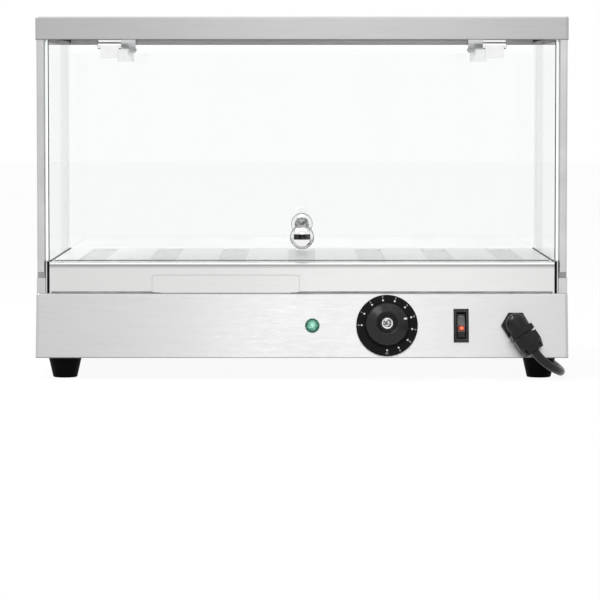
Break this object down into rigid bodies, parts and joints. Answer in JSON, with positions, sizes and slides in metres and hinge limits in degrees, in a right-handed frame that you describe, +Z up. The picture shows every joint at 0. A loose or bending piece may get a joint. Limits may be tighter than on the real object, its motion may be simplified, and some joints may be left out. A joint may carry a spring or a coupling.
{
  "type": "heated display case",
  "caption": "Countertop heated display case: steel base with thermostat, deck with water drawer, glazed chamber with front and rear flap doors, and mains cord.",
  "frame": {"origin": "centre of the case's box at table level, without the cord and its gland", "axes": "+Z up, -Y towards the side with the controls, +X to the right seen from there"},
  "size_m": [0.5664, 0.5638, 0.376],
  "materials": {
    "housing_steel": "brushed along the width",
    "deck_steel": "brushed",
    "frame_metal": "satin",
    "seat_plastic": "matt",
    "glass": "clear tempered",
    "gasket_rubber": "matt",
    "foot_rubber": "satin",
    "chrome": "polished",
    "fixing_steel": "zinc plated",
    "dial_black": "satin, white marks",
    "knob_black": "satin",
    "gland_black": "satin polyamide",
    "switch_black": "satin",
    "rocker_grey": "satin, lit red window",
    "lamp_green": "faceted lens",
    "body_plastic": "moulded",
    "heater_metal": "heat tinted",
    "insulation": "mineral wool",
    "copper": "copper capillary",
    "wire_insulation": "silicone",
    "cable_rubber": "satin",
    "plug_plastic": "satin",
    "pin_metal": "nickel plated"
  },
  "bodies": {
    "case": {"base_housing": "housing_steel", "bottom_plate": "housing_steel", "bottom_screws": "fixing_steel", "feet": "foot_rubber", "foot_screws": "fixing_steel", "side_rails": "frame_metal", "post_seats": "seat_plastic", "corner_posts": "frame_metal", "upper_rails": "frame_metal", "lower_gaskets": "gasket_rubber", "upper_gaskets": "gasket_rubber", "side_pane_left": "glass", "side_pane_right": "glass", "top_cover": "housing_steel", "ceiling_panel": "deck_steel", "deck_plate": "deck_steel", "drawer_guides": "deck_steel", "hinge_brackets": "chrome", "hinge_pins": "fixing_steel", "pilot_lens": "lamp_green", "pilot_body": "body_plastic", "thermostat_body": "body_plastic", "dial_plate": "dial_black", "sensor_bulb": "copper", "sensor_capillary": "copper", "heater_tray": "heater_metal", "heater_tube": "heater_metal", "heater_supports": "heater_metal", "insulation_mat": "insulation", "switch_housing": "switch_black", "gland_elbow": "gland_black", "gland_locknut": "gland_black", "gland_nut": "gland_black", "gland_seal": "gasket_rubber", "terminal_block": "body_plastic", "internal_wires": "wire_insulation", "earth_stud": "fixing_steel", "cable_free": "cable_rubber", "cable_coil": "cable_rubber", "coil_tie": "seat_plastic", "plug_body": "plug_plastic", "plug_pins": "pin_metal"},
    "front_door": {"front_door_glass": "glass", "front_hinge_clamps": "chrome", "front_knob": "chrome", "front_knob_screw": "fixing_steel"},
    "rear_door": {"rear_door_glass": "glass", "rear_hinge_clamps": "chrome", "rear_knob": "chrome", "rear_knob_screw": "fixing_steel"},
    "water_drawer": {"drawer_front": "deck_steel", "drawer_tray": "deck_steel"},
    "thermostat_dial": {"thermostat_knob": "knob_black", "thermostat_spindle": "fixing_steel", "knob_cap": "chrome"},
    "rocker": {"switch_rocker": "rocker_grey"}
  },
  "joints": [
    {"name": "front_door_hinge", "type": "hinge", "parent": "case", "child": "front_door", "pos_m": [0, -0.161, 0.346], "axis": [-1, 0, 0], "range_deg": [0, 90]},
    {"name": "rear_door_hinge", "type": "hinge", "parent": "case", "child": "rear_door", "pos_m": [0, 0.161, 0.346], "axis": [1, 0, 0], "range_deg": [0, 90]},
    {"name": "drawer_slide", "type": "slide", "parent": "case", "child": "water_drawer", "axis": [0, -1, 0], "range_m": [0, 0.19]},
    {"name": "thermostat_turn", "type": "hinge", "parent": "case", "child": "thermostat_dial", "pos_m": [0.0884, -0.17352, 0.0551], "axis": [0, -0.9785, 0.2063], "range_deg": [-108, 162]},
    {"name": "rocker_tilt", "type": "hinge", "parent": "case", "child": "rocker", "pos_m": [0.1656, -0.16912, 0.05417], "axis": [1, 0, 0], "range_deg": [0, 16]}
  ]
}
